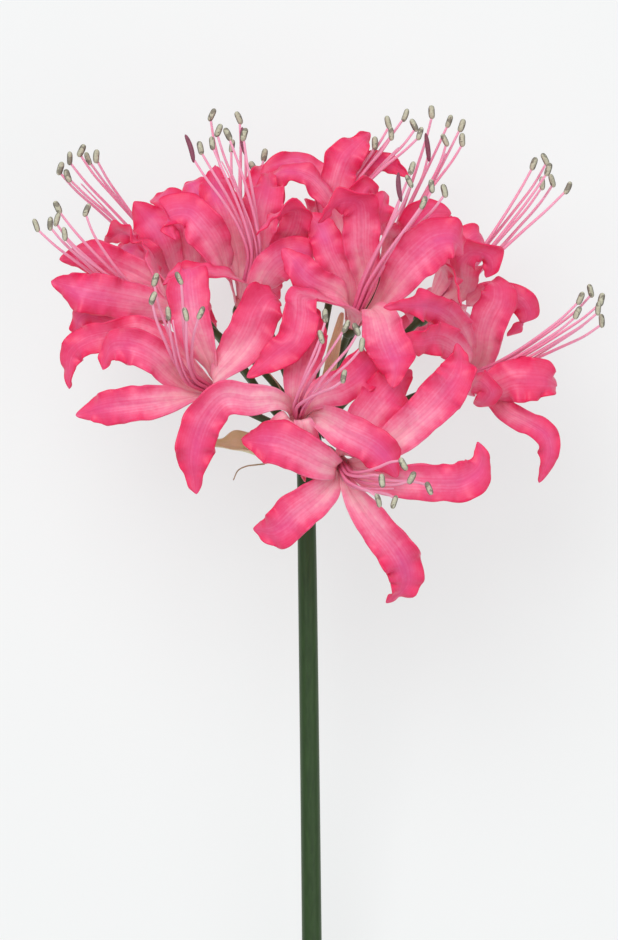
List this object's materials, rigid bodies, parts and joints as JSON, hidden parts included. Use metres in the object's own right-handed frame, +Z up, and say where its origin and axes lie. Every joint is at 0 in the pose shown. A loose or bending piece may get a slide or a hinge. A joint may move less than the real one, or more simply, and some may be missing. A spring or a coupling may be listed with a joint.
{
  "type": "cut nerine",
  "caption": "Cut nerine lying on a surface: a leafless green stem with papery spathe valves and an open umbel of pink florets with wavy petals and long stamens",
  "frame": {"origin": "centre of the bounding box on the surface that the flower lies on", "axes": "+Y along the stem from the cut end towards the flowers, +Z up from the surface, +X to the right seen from above with the flowers up"},
  "size_m": [0.1898, 0.4112, 0.1397],
  "materials": {
    "petal_pink": "soft satin petal, hot pink at the wavy edges and tip, pale pink at the claw and along the middle",
    "stamen_pink": "waxy pink filaments and styles with dull grey-green or dark purple anthers",
    "pedicel_green": "smooth dark green living stalk, satin",
    "stem_green": "smooth mid to dark green living stem, satin, with a pale cut end",
    "dry_bract": "dry papery olive and straw bract, matte"
  },
  "bodies": {
    "root": {"stem": "stem_green", "spathe_left": "dry_bract", "spathe_right": "dry_bract", "withered_bract": "dry_bract", "bracteole_left": "dry_bract", "bracteole_middle": "dry_bract", "bracteole_right": "dry_bract", "floret_a_pedicel": "pedicel_green", "floret_a_outer_petals": "petal_pink", "floret_a_inner_petals": "petal_pink", "floret_a_stamens": "stamen_pink", "floret_b_pedicel": "pedicel_green", "floret_b_outer_petals": "petal_pink", "floret_b_inner_petals": "petal_pink", "floret_b_stamens": "stamen_pink", "floret_c_pedicel": "pedicel_green", "floret_c_outer_petals": "petal_pink", "floret_c_inner_petals": "petal_pink", "floret_c_stamens": "stamen_pink", "floret_d_pedicel": "pedicel_green", "floret_d_outer_petals": "petal_pink", "floret_d_inner_petals": "petal_pink", "floret_d_stamens": "stamen_pink", "floret_e_pedicel": "pedicel_green", "floret_e_outer_petals": "petal_pink", "floret_e_inner_petals": "petal_pink", "floret_e_stamens": "stamen_pink", "floret_f_pedicel": "pedicel_green", "floret_f_outer_petals": "petal_pink", "floret_f_inner_petals": "petal_pink", "floret_f_stamens": "stamen_pink", "floret_g_pedicel": "pedicel_green", "floret_g_outer_petals": "petal_pink", "floret_g_inner_petals": "petal_pink", "floret_g_stamens": "stamen_pink", "floret_h_pedicel": "pedicel_green", "floret_h_outer_petals": "petal_pink", "floret_h_inner_petals": "petal_pink", "floret_h_stamens": "stamen_pink", "floret_i_pedicel": "pedicel_green", "floret_i_outer_petals": "petal_pink", "floret_i_inner_petals": "petal_pink", "floret_i_stamens": "stamen_pink", "floret_j_pedicel": "pedicel_green", "floret_j_outer_petals": "petal_pink", "floret_j_inner_petals": "petal_pink", "floret_j_stamens": "stamen_pink", "floret_k_pedicel": "pedicel_green", "floret_k_outer_petals": "petal_pink", "floret_k_inner_petals": "petal_pink", "floret_k_stamens": "stamen_pink", "floret_m_pedicel": "pedicel_green", "floret_m_outer_petals": "petal_pink", "floret_m_inner_petals": "petal_pink", "floret_m_stamens": "stamen_pink"}
  },
  "joints": []
}
